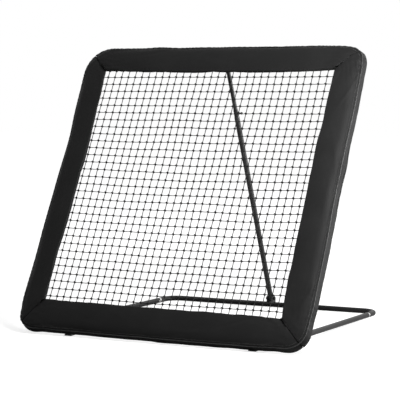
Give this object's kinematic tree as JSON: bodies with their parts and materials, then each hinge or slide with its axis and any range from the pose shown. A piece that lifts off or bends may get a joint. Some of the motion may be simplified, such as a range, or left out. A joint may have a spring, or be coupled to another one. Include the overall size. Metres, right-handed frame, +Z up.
{
  "type": "ball rebounder",
  "caption": "Padded square frame that leans back on ground arms and a telescoping strut, with a knotted net that throws balls back.",
  "frame": {"origin": "on the floor, under the middle of the object's outer box", "axes": "+X across the net to the right as a player in front sees it, +Y to the rear, +Z up"},
  "size_m": [1.269, 1.0516, 1.1229],
  "materials": {
    "pad_cover": "satin",
    "webbing": "matte",
    "net_cord": "matte",
    "elastic": "matte",
    "sole_rubber": "matte",
    "moulded_plastic": "satin",
    "zinc_plated": "satin",
    "powder_coat": "satin"
  },
  "bodies": {
    "base": {"rear_bar": "powder_coat", "base_arm_left": "powder_coat", "base_arm_right": "powder_coat", "arm_sleeve_left": "zinc_plated", "arm_sleeve_right": "zinc_plated", "arm_joint_screws": "zinc_plated", "arm_cap_left": "moulded_plastic", "arm_cap_right": "moulded_plastic", "hinge_bolt_left": "zinc_plated", "hinge_bolt_right": "zinc_plated", "hinge_nuts": "zinc_plated", "strut_foot_bracket": "powder_coat", "strut_foot_bolt": "zinc_plated", "strut_foot_nut": "zinc_plated"},
    "front_frame": {"frame_tube_upper": "powder_coat", "frame_tube_lower": "powder_coat", "frame_joint_screws": "zinc_plated", "net": "net_cord", "net_border_rope": "net_cord", "net_ties": "elastic", "pad_top": "pad_cover", "pad_bottom": "pad_cover", "pad_left": "pad_cover", "pad_right": "pad_cover", "straps_top": "webbing", "straps_bottom": "webbing", "straps_left": "webbing", "straps_right": "webbing", "foot_left": "moulded_plastic", "foot_right": "moulded_plastic", "foot_sole_left": "sole_rubber", "foot_sole_right": "sole_rubber", "foot_screws": "zinc_plated", "top_bracket": "powder_coat", "hinge_bracket_left": "powder_coat", "hinge_bracket_right": "powder_coat"},
    "strut_lower": {"strut_lower_tube": "powder_coat", "strut_foot_plug": "moulded_plastic", "clamp_boss": "powder_coat"},
    "strut_upper": {"strut_upper_tube": "powder_coat", "strut_guide": "moulded_plastic", "strut_top_plug": "moulded_plastic", "top_pivot_bolt": "zinc_plated", "top_pivot_nut": "zinc_plated", "top_pivot_washers": "zinc_plated"},
    "lock_knob": {"clamp_screw": "zinc_plated", "clamp_knob": "moulded_plastic"}
  },
  "joints": [
    {"name": "frame_tilt", "type": "hinge", "parent": "base", "child": "front_frame", "pos_m": [0, -0.46, 0.031], "axis": [1, 0, 0], "range_deg": [-8, 8]},
    {"name": "strut_swing", "type": "hinge", "parent": "base", "child": "strut_lower", "pos_m": [0, 0.5088, 0.038], "axis": [1, 0, 0], "range_deg": [-5.5, 5.5]},
    {"name": "strut_slide", "type": "slide", "parent": "strut_lower", "child": "strut_upper", "axis": [0, -0.3642, 0.9313], "range_m": [-0.13, 0.13]},
    {"name": "lock_knob_turn", "type": "hinge", "parent": "strut_lower", "child": "lock_knob", "pos_m": [0, 0.19026, 0.85242], "axis": [1, 0, 0], "continuous": true}
  ],
  "couplings": [
    {"joint": "strut_swing", "follows": "frame_tilt", "ratio": 0.68566},
    {"joint": "strut_slide", "follows": "frame_tilt", "m_per_rad": 0.90502}
  ]
}
